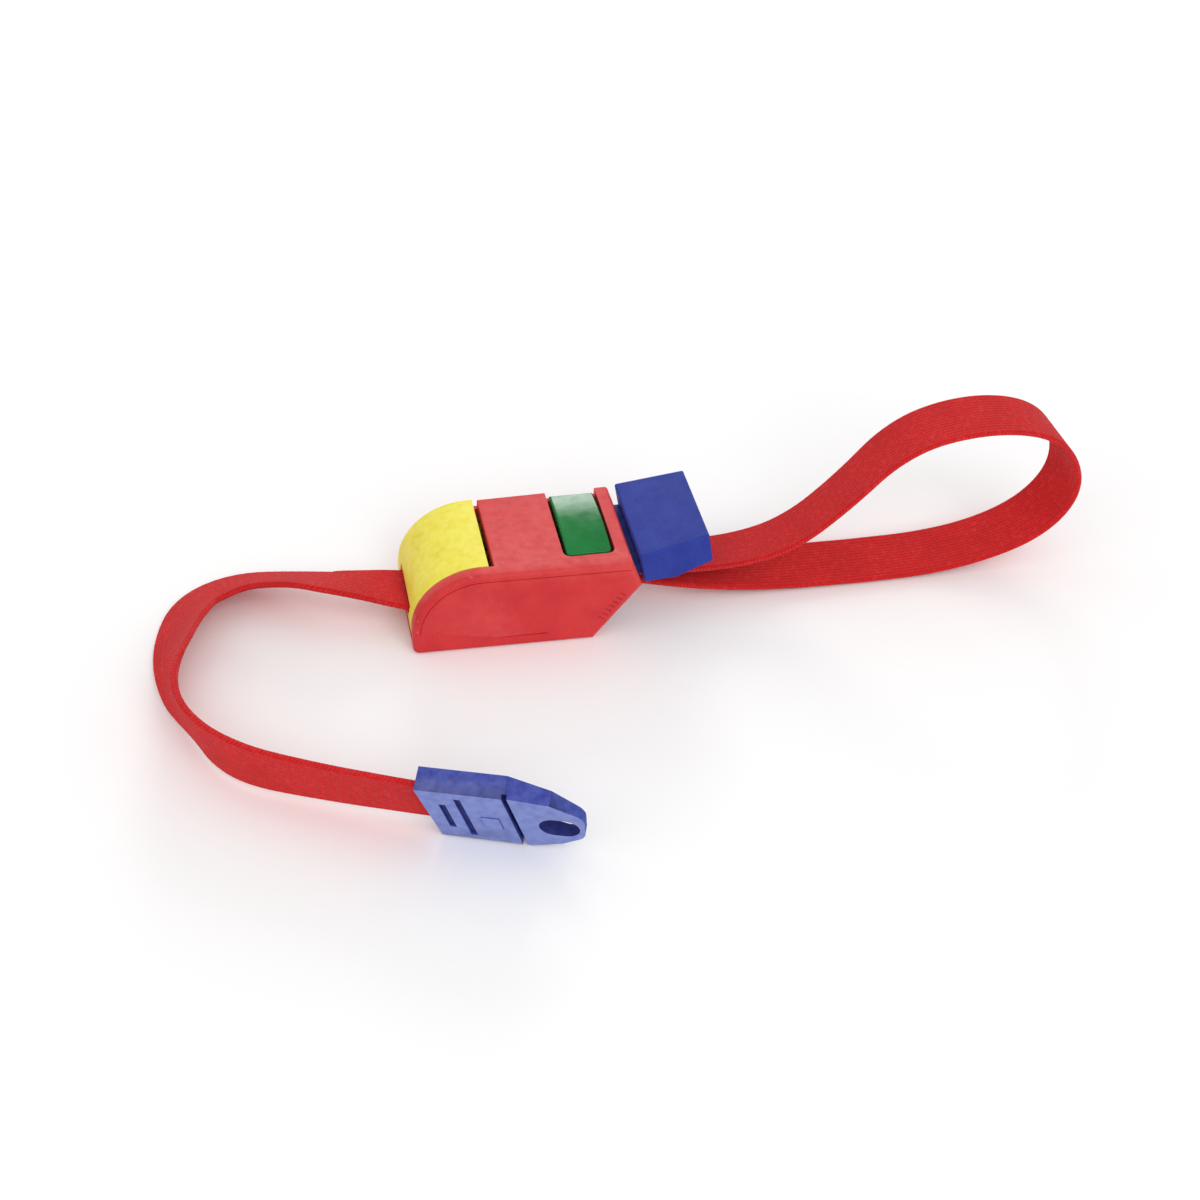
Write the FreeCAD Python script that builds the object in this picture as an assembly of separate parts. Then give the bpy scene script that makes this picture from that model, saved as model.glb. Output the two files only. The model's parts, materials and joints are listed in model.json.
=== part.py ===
import FreeCAD, Part
import math
import os

# One-handed quick-release tourniquet: a housing on a flat elastic strap.
# Millimetres, +Z up.  While the parts are drawn, X runs from the nose end to the
# pull end, Y = 0 is the middle of the housing and Z = 0 is the housing's underside.
# save() then moves X so that the origin is under the middle of the housing and lever.

V = FreeCAD.Vector

# ---- housing outline ----
height = 21.4            # underside to top
nose_radius = 16.0       # large round at the nose
chamfer_start = 41.8     # where the underside turns up towards the pull end
corner_x = 52.6          # pull end corner
corner_z = 14.85
top_end = 50.1           # pull end of the top
half_at_nose = 14.0      # the housing widens slightly towards the pull end
taper = 1.0 / 48.0
near_wall = 3.6          # thick side cover, near side
far_wall = 1.6           # thin side cover, far side
far_drop = 1.7           # the far cover stays this much below the top
lip_gap = 0.1            # the top cover's far lip clears the far cover by this much
cover_thickness = 3.0
floor_thickness = 3.2
middle_x = 34.7          # middle of the strap's exit, housing and thumb lever
edge_round = 1.2
far_round = 0.7
corner_round = 1.5       # lower nose corner of the side covers
top_tail_round = 0.8     # rounds on the top cover
top_far_round = 0.5
top_front_round = 0.25
top_from = 18.9          # the top cover starts here, a gap behind the release lever

# ---- shallow grooves in the near cover's face ----
groove_depth = 0.2
groove_width = 0.3
rim_inset = 1.45         # a line that follows the nose and the top
rim_low = 6.0
foot_line = (20.0, 31.0)
foot_line_z = 3.2
rib_count = 7            # short ribs across the way along the chamfer
rib_first = 6.0
rib_pitch = 1.35
rib_inset = 1.7
rib_length = 1.6
rib_width = 0.25

# ---- fasteners ----
pin_radius = 1.2
pin_clearance = 0.05
bar_x = 5.2
bar_z = 4.9
bar_radius = 1.1
pin_recess = 0.15        # pin ends lie this far below the far cover's face
blind = 2.4              # depth of the blind bores in the near cover
screw_places = [(8.0, 1.7), (31.0, 1.7), (28.0, 17.2)]
screw_radius = 0.9
screw_head = 1.4
head_sink = 1.0
head_recess = 0.2
driver_slot = 0.4
boss = (26.2, 29.8)      # lug under the top cover for the upper tie screw
boss_low = 15.4
boss_high = 18.5
rivet_x = 45.0
rivet_spread = 3.5
rivet_radius = 0.8
rivet_head = 1.4
rivet_seat = 10.3
rivet_end = 10.42

# ---- strap ----
strap_width = 14.8
strap_thickness = 1.4
strap_y = 1.5            # the strap's middle lies between the two side covers
tube_radius = math.sqrt(strap_width * strap_thickness / math.pi)  # same section area

# ---- deck between the tongue socket and the strap ----
deck_low = 8.0
deck_top = 8.8
deck_from = 20.4
deck_to = 47.2

# ---- release lever at the nose ----
lever_pin_x = 13.5
lever_pin_z = 13.6
lever_end = 17.7
lever_skin = 2.0
lever_low = 3.4
lever_clearance = 0.2    # to the side covers
lever_lip = 0.9          # its far rim passes over the far cover
lever_hub = 2.6
shoe_half = 7.0
shoe_from = 20.4
shoe_to = 23.6
shoe_low = 10.7
shoe_top = 11.6
tooth_height = 0.3
slot_low = 4.9
slot_high = 8.4
slot_depth = 4.5
lever_web = [
    (1.0, 3.4), (2.0, 3.4), (3.2, 8.4), (10.0, 12.0), (17.5, 11.6), (24.0, 11.6),
    (24.0, 14.0), (17.0, 16.2), (17.4, 20.0), (9.5, 18.2), (4.0, 13.0), (1.4, 9.0)]
web_width = 2.0
foot_bar = (20.0, 24.0, 11.6, 14.0)

# ---- latch button ----
button_from = 35.9
button_to = 46.3
button_near = -9.2
button_far = 13.0
button_crown = 0.9
button_gap = 0.8
button_corner = 1.0
button_low = 18.0
button_rim = 0.1         # its side edges lie this much below the top
button_round = 0.45
yoke_from = 38.9
yoke_to = 41.4
yoke_low = 2.2
yoke_arm = 1.4
yoke_room = 0.3
latch_tooth = [(39.3, 3.1), (41.0, 3.1), (39.8, 4.5), (39.3, 4.5)]
latch_tooth_half = 2.2

# ---- thumb lever at the pull end ----
thumb_pin_x = 48.0
thumb_pin_z = 15.6
thumb_x = 51.75
thumb_z = 22.55
thumb_length = 16.6
thumb_thickness = 7.9
thumb_pitch = math.radians(11.4)
thumb_half_left = 14.0
thumb_half_right = 12.5
thumb_under = (61.0, 14.8)     # its underside bulges down to here
thumb_round = 0.5
barrel_radius = 2.3
barrel_from = -10.8
barrel_to = 12.4
lug_to = 54.5
lug_low = 14.9
lug_top = 17.4
cam_seat = [(46.3, 14.0), (46.5, 12.7), (47.2, 12.2), (48.6, 12.2), (49.4, 12.9), (49.6, 14.0)]
cam_inner = 2.6
cam_outer = 7.0

# ---- springs, as sleeves: outer and inner radius ----
lever_spring = (1.9, 1.4)
lever_spring_x = 22.0
lever_spring_low = 14.05
latch_spring = (1.1, 0.8)
latch_spring_x = 37.2
latch_spring_rows = (-8.4, 11.4)
thumb_spring = (2.0, 1.3)
thumb_spring_half = 1.8

# ---- tongue ----
tongue_length = 31.9
tongue_width = 18.0
tongue_thickness = 5.4
tongue_shoulder = 17.6
tongue_rake = 0.23       # its strap end leans by this much length per width
tongue_lean = 0.18       # and its groove and ribs by this much
nose_face = 2.5          # the nose's outer face is flat, its inner face falls to the tip
nose_fall_from = 15.9
nose_fall = 0.1875
tip_low = -3.9
tip_high = 4.0
tip_round = 3.4
window_x = 26.7
window_y = 0.9
window_half = 1.0
window_radius = 3.2
face_groove = (1.0, 1.2)       # width and depth
face_ribs = [(3.2, 4.6, -4.0, 5.0), (6.9, 8.3, -6.8, 8.0)]
face_rib_depth = 0.45
face_pad = (11.0, 14.6, -0.8, 3.4)
pad_height = 0.25
strap_socket = 10.0
socket_height = 1.6
tongue_place = V(-3.6, -68.4, 9.75)
tongue_yaw = math.radians(-20.0)
tongue_pitch = math.radians(2.0)
tongue_roll = math.radians(105.5)

# ---- strap routes, hand-chosen points ----
tail_route = [
    V(-0.9, 1.5, 6.4), V(-13.7, 2.0, 10.2), V(-25.0, 8.5, 7.6), V(-37.4, 12.9, 4.5),
    V(-47.1, 9.4, 3.6), V(-51.5, -1.0, 4.6), V(-53.3, -13.7, 6.4), V(-53.2, -29.4, 8.1),
    V(-45.0, -47.8, 8.1), V(-24.6, -58.4, 8.2), V(-3.6, -67.9, 9.6)]
loop_route = [
    V(51.0, 0, 9.2), V(66.0, 0, 4.9), V(86.0, 0, 2.4), V(108.0, 0, 1.7),
    V(130.0, 0, 1.9), V(147.0, 0, 5.9), V(158.0, 0, 13.0), V(162.2, 0, 24.0),
    V(157.0, 0, 35.5), V(147.0, 0, 41.6), V(131.0, 0, 42.6), V(116.0, 0, 37.6),
    V(104.0, 0, 22.8), V(92.5, 0, 11.8), V(78.5, 0, 7.4), V(64.0, 0, 8.2),
    V(51.0, 0, 10.95)]
inner_route = [
    V(-0.3, 0, 6.35), V(8.0, 0, 7.2), V(16.5, 0, 9.6), V(33.0, 0, 9.6),
    V(41.5, 0, 11.5), V(51.0, 0, 10.95)]
anchor_route = [V(43.4, 0, 9.55), V(47.0, 0, 9.55), V(51.0, 0, 9.2)]


def half(x):
    return half_at_nose + taper * x


def save(name, shape):
    moved = shape.copy()
    moved.translate(V(-middle_x, 0, 0))
    moved.exportStep("parts/" + name + ".step")


def box(x0, x1, y0, y1, z0, z1):
    return Part.makeBox(x1 - x0, y1 - y0, z1 - z0, V(x0, y0, z0))


def rod(x, z, radius, y0, y1):
    return Part.makeCylinder(radius, y1 - y0, V(x, y0, z), V(0, 1, 0))


def post(x, y, radius, z0, z1):
    return Part.makeCylinder(radius, z1 - z0, V(x, y, z0), V(0, 0, 1))


def prism_xz(points, y0, y1):
    corners = [V(x, y0, z) for x, z in points]
    face = Part.Face(Part.makePolygon(corners + [corners[0]]))
    return face.extrude(V(0, y1 - y0, 0))


def prism_xy(points, z0, z1):
    corners = [V(x, y, z0) for x, y in points]
    face = Part.Face(Part.makePolygon(corners + [corners[0]]))
    return face.extrude(V(0, 0, z1 - z0))


def side_outline(inset):
    """The housing's side view as a face at y = 0, with top and nose set in."""
    radius = nose_radius - inset
    top = height - inset
    low = height - nose_radius
    lean = radius * math.sqrt(0.5)
    start = V(inset, 0, low)
    middle = V(nose_radius - lean, 0, low + lean)
    end = V(nose_radius, 0, top)
    r = corner_round
    turn = V(inset + r * (1 - math.sqrt(0.5)), 0, r * (1 - math.sqrt(0.5)))
    edges = [
        Part.Arc(V(inset + r, 0, 0), turn, V(inset, 0, r)).toShape(),
        Part.makeLine(V(inset, 0, r), start),
        Part.Arc(start, middle, end).toShape(),
        Part.makeLine(end, V(top_end, 0, top)),
        Part.makeLine(V(top_end, 0, top), V(corner_x, 0, corner_z)),
        Part.makeLine(V(corner_x, 0, corner_z), V(chamfer_start, 0, 0)),
        Part.makeLine(V(chamfer_start, 0, 0), V(inset + r, 0, 0))]
    return Part.Face(Part.Wire(edges))


def between_sides(near_inset, far_inset):
    """The tapering space between two planes that follow the side faces."""
    x0 = -5.0
    x1 = 60.0
    points = [(x0, -half(x0) + near_inset), (x1, -half(x1) + near_inset),
              (x1, half(x1) - far_inset), (x0, half(x0) - far_inset)]
    return prism_xy(points, -1.0, height + 5.0)


def housing_block(inset):
    face = side_outline(inset)
    face.translate(V(0, -20.0, 0))
    return face.extrude(V(0, 40.0, 0))


def outer_edges(shape, side):
    """Edges of the outer side face: side is -1 for the near cover, 1 for the far."""
    found = []
    for edge in shape.Edges:
        ends = [p.y * side - half(p.x) for p in [v.Point for v in edge.Vertexes]]
        if min(ends) > -0.01:
            found.append(edge)
    return found


def round_edges(shape, edges, radius):
    return shape.makeFillet(radius, edges)


def pin_places():
    return [(lever_pin_x, lever_pin_z, pin_radius),
            (thumb_pin_x, thumb_pin_z, pin_radius),
            (bar_x, bar_z, bar_radius)]


def near_inner(x):
    return -half(x) + near_wall


def far_outer(x):
    return half(x) - pin_recess


def groove(x0, z0, x1, z1, width):
    """A straight shallow groove in the near cover's outer face."""
    along = V(x1 - x0, 0, z1 - z0)
    face_y = -half((x0 + x1) / 2)
    bar = Part.makeBox(along.Length, 2 * groove_depth, width, V(0, -groove_depth, -width / 2))
    bar.rotate(V(0, 0, 0), V(0, -1, 0), math.degrees(math.atan2(z1 - z0, x1 - x0)))
    bar.translate(V(x0, face_y, z0))
    return bar


def chamfer_ribs():
    """Short grooves square to the chamfer, in a row along it."""
    along = V(corner_x - chamfer_start, 0, corner_z).normalize()
    inward = V(-along.z, 0, along.x)
    bars = []
    for index in range(rib_count):
        foot = V(chamfer_start, 0, 0) + along * (rib_first + rib_pitch * index) + inward * rib_inset
        tip = foot + inward * rib_length
        bars.append(groove(foot.x, foot.z, tip.x, tip.z, rib_width))
    return bars


def rim_line():
    """A groove along the nose and the top, just inside the rounded edge."""
    line = housing_block(rim_inset).cut(housing_block(rim_inset + groove_width))
    line = line.common(between_sides(-1.0, -1.0)).cut(between_sides(groove_depth, -1.0))
    return line.common(box(-5, 60, -30, 0, rim_low, height))


def near_cover():
    tapered = prism_xy([(-5, near_inner(-5)), (60, near_inner(60)), (60, 20), (-5, 20)], -1, 30)
    cover = housing_block(0.0).common(between_sides(0.0, 0.0)).cut(tapered)
    cover = round_edges(cover, outer_edges(cover, -1), edge_round)
    cover = cover.cut(rim_line())
    cover = cover.cut(groove(foot_line[0], foot_line_z, foot_line[1], foot_line_z, groove_width))
    for bar in chamfer_ribs():
        cover = cover.cut(bar)
    for x, z, radius in pin_places():
        cover = cover.cut(rod(x, z, radius, near_inner(x) - blind, 0))
    for x, z in screw_places:
        cover = cover.cut(rod(x, z, screw_radius, near_inner(x) - blind, 0))
    return cover


def far_cover():
    inner = prism_xy([(-5, half(-5) - far_wall), (60, half(60) - far_wall), (60, -20), (-5, -20)], -1, 30)
    cover = housing_block(far_drop).common(between_sides(0.0, 0.0)).cut(inner)
    cover = round_edges(cover, outer_edges(cover, 1), far_round)
    for x, z, radius in pin_places():
        cover = cover.cut(rod(x, z, radius, 0, 20))
    for x, z in screw_places:
        cover = cover.cut(rod(x, z, screw_radius + pin_clearance, 0, 20))
        cover = cover.cut(rod(x, z, screw_head, half(x) - head_sink, 20))
    return cover


def inside():
    return housing_block(0.0).common(between_sides(near_wall, far_wall))


def screw_bores(shape):
    for x, z in screw_places:
        shape = shape.cut(rod(x, z, screw_radius + pin_clearance, -20, 20))
    return shape


def corner_post(x, y, radius, side_x, side_y):
    """What a rounded corner takes off: a square corner less its round."""
    block = box(min(x, x - side_x * radius), max(x, x - side_x * radius),
                min(y, y - side_y * radius), max(y, y - side_y * radius), 0, height + 5)
    return block.cut(post(x - side_x * radius, y - side_y * radius, radius, 0, height + 5))


def button_plan(gap):
    """The button's plan as a tall block, grown by a gap, with two rounded near corners."""
    x0 = button_from - gap
    x1 = button_to + gap
    y0 = button_near - gap
    plan = box(x0, x1, y0, 20, 0, height + 5)
    radius = button_corner + gap
    return plan.cut(corner_post(x0, y0, radius, -1, -1)).cut(corner_post(x1, y0, radius, 1, -1))


def edges_at(shape, wanted):
    """Edges whose two ends both pass a test."""
    return [e for e in shape.Edges if len(e.Vertexes) == 2 and all(wanted(v.Point) for v in e.Vertexes)]


def top_cover():
    cover = inside().common(box(top_from, top_end + 5, -20, 20, height - cover_thickness, height))
    lip_low = height - far_drop + lip_gap
    lip = housing_block(0.0).common(between_sides(near_wall, 0.2))
    lip = lip.common(box(top_from, top_end + 5, 0, 20, lip_low, height))
    cover = cover.fuse(lip).removeSplitter()
    lug = inside().common(box(boss[0], boss[1], -20, 20, boss_low, boss_high))
    cover = cover.fuse(lug).removeSplitter()
    cover = cover.cut(button_plan(button_gap))
    tail_edge = edges_at(cover, lambda p: abs(p.x - top_end) < 0.01 and p.z > height - 0.01)
    cover = cover.makeFillet(top_tail_round, tail_edge)
    far_edge = edges_at(cover, lambda p: p.y > half(p.x) - 0.3 and p.z > height - 0.01)
    cover = cover.makeFillet(top_far_round, far_edge)
    front = edges_at(cover, lambda p: abs(p.x - top_from) < 0.01 and p.z > height - 0.01)
    cover = cover.makeFillet(top_front_round, front)
    return screw_bores(cover)


def yoke_well(y0, y1, z0, z1):
    return box(yoke_from - yoke_room, yoke_to + yoke_room, y0, y1, z0, z1)


def base_cover():
    floor = inside().common(box(-1, 60, -20, 20, 0, floor_thickness))
    step = box(-1, slot_depth, -20, 20, 1.6, 5)
    pocket = yoke_well(button_near - yoke_room, button_far + yoke_room, 0.5, 5)
    mouth = prism_xz([(41.5, floor_thickness), (45, floor_thickness), (45, 2.2)], -8.0, 11.0)
    return screw_bores(floor.cut(step).cut(pocket).cut(mouth))


def rivet_rows():
    return (strap_y - rivet_spread, strap_y + rivet_spread)


def strap_deck():
    deck = inside().common(box(deck_from, deck_to, -20, 20, deck_low, deck_top))
    for y0, y1 in ((-20, button_near + 1.7), (button_far - 1.7, 20)):
        deck = deck.cut(yoke_well(y0, y1, 0, 20))
    for y in rivet_rows():
        deck = deck.cut(post(rivet_x, y, rivet_radius, 0, 20))
    return deck


def strap_rivets():
    pieces = []
    for y in rivet_rows():
        shank = post(rivet_x, y, rivet_radius, deck_low, rivet_seat)
        head = post(rivet_x, y, rivet_head, rivet_seat, rivet_end)
        pieces.append(shank.fuse(head))
    return Part.makeCompound(pieces)


# ---- release lever, clamp shoe and spring ----
def arc_face(radius, low, end):
    centre = V(nose_radius, 0, height - nose_radius)
    lean = radius * math.sqrt(0.5)
    start = V(nose_radius - radius, 0, centre.z)
    middle = V(nose_radius - lean, 0, centre.z + lean)
    crest = V(nose_radius, 0, centre.z + radius)
    edges = [
        Part.makeLine(V(start.x, 0, low), start),
        Part.Arc(start, middle, crest).toShape(),
        Part.makeLine(crest, V(end, 0, crest.z)),
        Part.makeLine(V(end, 0, crest.z), V(end, 0, low)),
        Part.makeLine(V(end, 0, low), V(start.x, 0, low))]
    return Part.Face(Part.Wire(edges))


def lever_shell():
    """The curved skin, with a thin rim that reaches over the far side cover."""
    outer = arc_face(nose_radius, lever_low, lever_end)
    outer.translate(V(0, -20, 0))
    solid = outer.extrude(V(0, 40, 0))
    shell = solid.common(between_sides(near_wall + lever_clearance, far_wall + lever_clearance))
    inner = arc_face(nose_radius - lever_skin, lever_low - 1, lever_end + 1)
    inner.translate(V(0, -21, 0))
    shell = shell.cut(inner.extrude(V(0, 42, 0)))
    under = arc_face(nose_radius - lever_lip, lever_low - 1, lever_end + 1)
    under.translate(V(0, -21, 0))
    rim = solid.cut(under.extrude(V(0, 42, 0)))
    rim = rim.common(between_sides(20.0, lever_clearance))
    return shell.fuse(rim).removeSplitter()


def release_lever():
    room = between_sides(near_wall + lever_clearance, far_wall + lever_clearance)
    shell = lever_shell()
    near_web = prism_xz(lever_web, -20, near_inner(0) + web_width)
    far_web = prism_xz(lever_web, half(0) - far_wall - web_width, 20)
    shell = shell.fuse(near_web.fuse(far_web).common(room))
    shell = shell.fuse(rod(lever_pin_x, lever_pin_z, lever_hub, -20, 20).common(room))
    x0, x1, z0, z1 = foot_bar
    shell = shell.fuse(box(x0, x1, -20, 20, z0, z1).common(room))
    shell = shell.cut(rod(lever_pin_x, lever_pin_z, pin_radius + pin_clearance, -20, 20))
    half_slot = strap_width / 2 + 0.5
    slot = box(-1, slot_depth, strap_y - half_slot, strap_y + half_slot, slot_low, slot_high)
    return shell.cut(slot).removeSplitter()


def clamp_shoe():
    y0 = strap_y - shoe_half
    y1 = strap_y + shoe_half
    shoe = box(shoe_from, shoe_to, y0, y1, shoe_low, shoe_top)
    for index in range(4):
        x = shoe_from + 0.4 + 0.8 * index
        points = [(x - 0.35, shoe_low + 0.05), (x + 0.35, shoe_low + 0.05), (x, shoe_low - tooth_height)]
        shoe = shoe.fuse(prism_xz(points, y0, y1))
    return shoe.removeSplitter()


def sleeve(x, y, radii, z0, z1):
    outer, inner = radii
    return post(x, y, outer, z0, z1).cut(post(x, y, inner, z0 - 1, z1 + 1))


# ---- button and yoke ----
def latch_button():
    shoulder = height - button_rim
    crest = V(0, (button_near + button_far) / 2, height + button_crown)
    near = V(0, button_near, shoulder)
    far = V(0, button_far, shoulder)
    low = button_low
    edges = [
        Part.makeLine(V(0, button_near, low), near),
        Part.Arc(near, crest, far).toShape(),
        Part.makeLine(far, V(0, button_far, low)),
        Part.makeLine(V(0, button_far, low), V(0, button_near, low))]
    face = Part.Face(Part.Wire(edges))
    face.translate(V(button_from, 0, 0))
    cap = face.extrude(V(button_to - button_from, 0, 0)).common(button_plan(0))
    top_edges = [e for e in cap.Edges if min(v.Z for v in e.Vertexes) > shoulder - 0.01]
    cap = cap.makeFillet(button_round, top_edges)
    return cap.cut(box(button_to - 1.5, 60, -20, 20, 0, 19.8))


def latch_yoke():
    near = box(yoke_from, yoke_to, button_near, button_near + yoke_arm, yoke_low, button_low)
    far = box(yoke_from, yoke_to, button_far - yoke_arm, button_far, yoke_low, button_low)
    bar = box(yoke_from, yoke_to, button_near, button_far, yoke_low, floor_thickness)
    tooth = prism_xz(latch_tooth, strap_y - latch_tooth_half, strap_y + latch_tooth_half)
    return near.fuse(far).fuse(bar).fuse(tooth).removeSplitter()


# ---- thumb lever, cam insert ----
def thumb_profile():
    along = (math.cos(thumb_pitch), math.sin(thumb_pitch))
    down = (math.sin(thumb_pitch), -math.cos(thumb_pitch))
    top_left = (thumb_x, thumb_z)
    top_right = (thumb_x + thumb_length * along[0], thumb_z + thumb_length * along[1])
    low_right = (top_right[0] + thumb_thickness * down[0], top_right[1] + thumb_thickness * down[1])
    low_left = (thumb_x + thumb_thickness * down[0], thumb_z + thumb_thickness * down[1])
    return [top_left, top_right, low_right, thumb_under, low_left]


def thumb_lever():
    slab = prism_xz(thumb_profile(), -16, 16)
    plan = prism_xy([(thumb_x, -thumb_half_left), (thumb_x + 18.1, -thumb_half_right),
                     (thumb_x + 18.1, thumb_half_right), (thumb_x, thumb_half_left)], 0, 40)
    slab = slab.common(plan)
    slab = slab.makeFillet(thumb_round, slab.Edges)
    lug = box(thumb_pin_x, lug_to, barrel_from, barrel_to, lug_low, lug_top)
    barrel = rod(thumb_pin_x, thumb_pin_z, barrel_radius, barrel_from, barrel_to)
    lever = slab.fuse(lug).fuse(barrel)
    lever = lever.cut(rod(thumb_pin_x, thumb_pin_z, pin_radius + pin_clearance, -20, 20))
    lever = lever.cut(box(40.0, 50.9, strap_y - 2.0, strap_y + 2.0, 10.0, 20.0))
    return lever.cut(cam_outline()).removeSplitter()


def cam_outline():
    near = prism_xz(cam_seat, strap_y - cam_outer, strap_y - cam_inner)
    far = prism_xz(cam_seat, strap_y + cam_inner, strap_y + cam_outer)
    return Part.makeCompound([near, far])


def hinge_pin(x, z, radius):
    return rod(x, z, radius, near_inner(x) - blind, far_outer(x))


def thumb_lever_spring():
    outer, inner = thumb_spring
    body = rod(thumb_pin_x, thumb_pin_z, outer, strap_y - thumb_spring_half, strap_y + thumb_spring_half)
    return body.cut(rod(thumb_pin_x, thumb_pin_z, inner, -20, 20))


def tie_screws():
    pieces = []
    for x, z in screw_places:
        seat = half(x) - head_sink
        top = half(x) - head_recess
        shank = rod(x, z, screw_radius, near_inner(x) - blind, seat)
        head = rod(x, z, screw_head - pin_clearance, seat, top)
        slot = box(x - 1.1, x + 1.1, top - driver_slot, top + 1, z - driver_slot / 2, z + driver_slot / 2)
        pieces.append(shank.fuse(head).cut(slot))
    return Part.makeCompound(pieces)


# ---- strap ----
def rounded_path(points):
    """Straight runs joined by tangent arcs, and the arcs' radii."""
    edges = []
    radii = []
    last = points[0]
    for before, corner, after in zip(points, points[1:], points[2:]):
        run_in = (corner - before).Length
        run_out = (after - corner).Length
        a = (before - corner).normalize()
        b = (after - corner).normalize()
        turn = math.pi - a.getAngle(b)
        reach = 0.45 * min(run_in, run_out)
        radius = reach / math.tan(turn / 2)
        start = corner + a * reach
        end = corner + b * reach
        middle = corner + (a + b).normalize() * (radius / math.cos(turn / 2) - radius)
        edges.append(Part.makeLine(last, start))
        edges.append(Part.Arc(start, middle, end).toShape())
        radii.append(round(radius, 1))
        last = end
    edges.append(Part.makeLine(last, points[-1]))
    return Part.Wire(edges), radii


def band(points, name):
    """A flat strap that bends only in the XZ plane."""
    path, radii = rounded_path(points)
    side = V(0, strap_width, 0)
    start = points[0]
    across = (points[1] - start).normalize().cross(V(0, 1, 0)) * (strap_thickness / 2)
    corners = [start + across, start - across, start - across + side, start + across + side]
    profile = Part.makePolygon(corners + [corners[0]])
    sweep = Part.BRepOffsetAPI.MakePipeShell(path)
    sweep.setBiNormalMode(V(0, 1, 0))
    sweep.add(profile)
    sweep.build()
    sweep.makeSolid()
    solid = Part.Solid(sweep.shape())
    solid.translate(V(0, strap_y - strap_width / 2, 0))
    report_route(name, path, radii, solid.Volume / (strap_width * strap_thickness))
    return solid


def tube(points, name):
    path, radii = rounded_path(points)
    direction = (points[1] - points[0]).normalize()
    circle = Part.Wire([Part.Circle(points[0], direction, tube_radius).toShape()])
    solid = path.makePipeShell([circle], True, True)
    report_route(name, path, radii, solid.Volume / (math.pi * tube_radius ** 2))
    return solid


def report_route(name, path, radii, swept):
    print(name, "length", round(path.Length, 1), "volume / section", round(swept, 1), "radii", radii)


def strap_inner_run():
    run = band(inner_route, "strap_inner_run")
    anchored = band(anchor_route, "strap_anchored_end")
    for y in rivet_rows():
        anchored = anchored.cut(post(rivet_x, y, rivet_radius, 0, 20))
    return Part.makeCompound([run, anchored])


# ---- tongue ----
def tongue_frame():
    u = V(math.cos(tongue_pitch) * math.cos(tongue_yaw),
          math.cos(tongue_pitch) * math.sin(tongue_yaw), math.sin(tongue_pitch))
    side = u.cross(V(0, 0, 1)).normalize()
    up = side.cross(u)
    v = side * math.cos(tongue_roll) - up * math.sin(tongue_roll)
    return FreeCAD.Placement(tongue_place, FreeCAD.Rotation(u, v, u.cross(v), "XYZ"))


def placed(shape):
    moved = shape.copy()
    moved.Placement = tongue_frame().multiply(moved.Placement)
    return moved


def raked(x, y):
    return (x + tongue_rake * y, y)


def leaned(x, y):
    return (x + tongue_lean * y, y)


def leaned_bar(x0, x1, y0, y1, z0, z1):
    return prism_xy([leaned(x0, y0), leaned(x1, y0), leaned(x1, y1), leaned(x0, y1)], z0, z1)


def window_shape():
    left = post(window_x - window_half, window_y, window_radius, -9, 9)
    right = post(window_x + window_half, window_y, window_radius, -9, 9)
    middle = box(window_x - window_half, window_x + window_half,
                 window_y - window_radius, window_y + window_radius, -9, 9)
    return left.fuse(right).fuse(middle)


def tongue_nose():
    """The tapering nose: flat outside, its inner face falling towards a rounded tip."""
    h = tongue_width / 2
    outline = [leaned(tongue_shoulder - 0.5, -h), (25.0, -7.9), (tongue_length, tip_low),
               (tongue_length, tip_high), (27.0, 7.6), leaned(tongue_shoulder + 1.0, h + 0.9),
               leaned(tongue_shoulder - 0.5, h + 0.9)]
    nose = prism_xy(outline, -nose_face, tongue_thickness / 2)
    tip = edges_at(nose, lambda p: abs(p.x - tongue_length) < 0.01)
    upright = [e for e in tip if abs(e.Vertexes[0].Y - e.Vertexes[1].Y) < 0.01]
    nose = nose.makeFillet(tip_round, upright)
    start = tongue_thickness / 2 + 0.02
    end = start - nose_fall * (tongue_length + 1 - nose_fall_from)
    above = prism_xz([(nose_fall_from, start), (tongue_length + 1, end),
                      (tongue_length + 1, 9), (nose_fall_from, 9)], -20, 20)
    return nose.cut(above)


def tongue_body():
    h = tongue_width / 2
    t = tongue_thickness / 2
    grip = prism_xy([raked(0, -h), leaned(tongue_shoulder, -h), leaned(tongue_shoulder, h + 0.4),
                     raked(0, h)], -t, t)
    x0, x1, y0, y1 = face_pad
    body = grip.fuse(tongue_nose()).fuse(leaned_bar(x0, x1, y0, y1, -t - pad_height, 0))
    body = body.cut(window_shape())
    width, depth = face_groove
    x = tongue_shoulder
    body = body.cut(leaned_bar(x - width / 2, x + width / 2, -h - 1, h + 2, -9, -t + depth))
    notch = prism_xy([leaned(x - width / 2, h - 0.8), leaned(x + 1.2, h + 1.5),
                      leaned(x - width / 2, h + 1.5)], -9, 9)
    body = body.cut(notch)
    for x0, x1, y0, y1 in face_ribs:
        body = body.cut(leaned_bar(x0, x1, y0, y1, -9, -t + face_rib_depth))
    reach = strap_width / 2 + 0.1
    socket = box(-6.0, strap_socket, -reach, reach, -socket_height / 2, socket_height / 2)
    return placed(body.cut(socket).removeSplitter())


def tongue_wedge():
    return placed(box(4.5, 9.9, -strap_width / 2, strap_width / 2, -0.7, 0.7))


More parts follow.
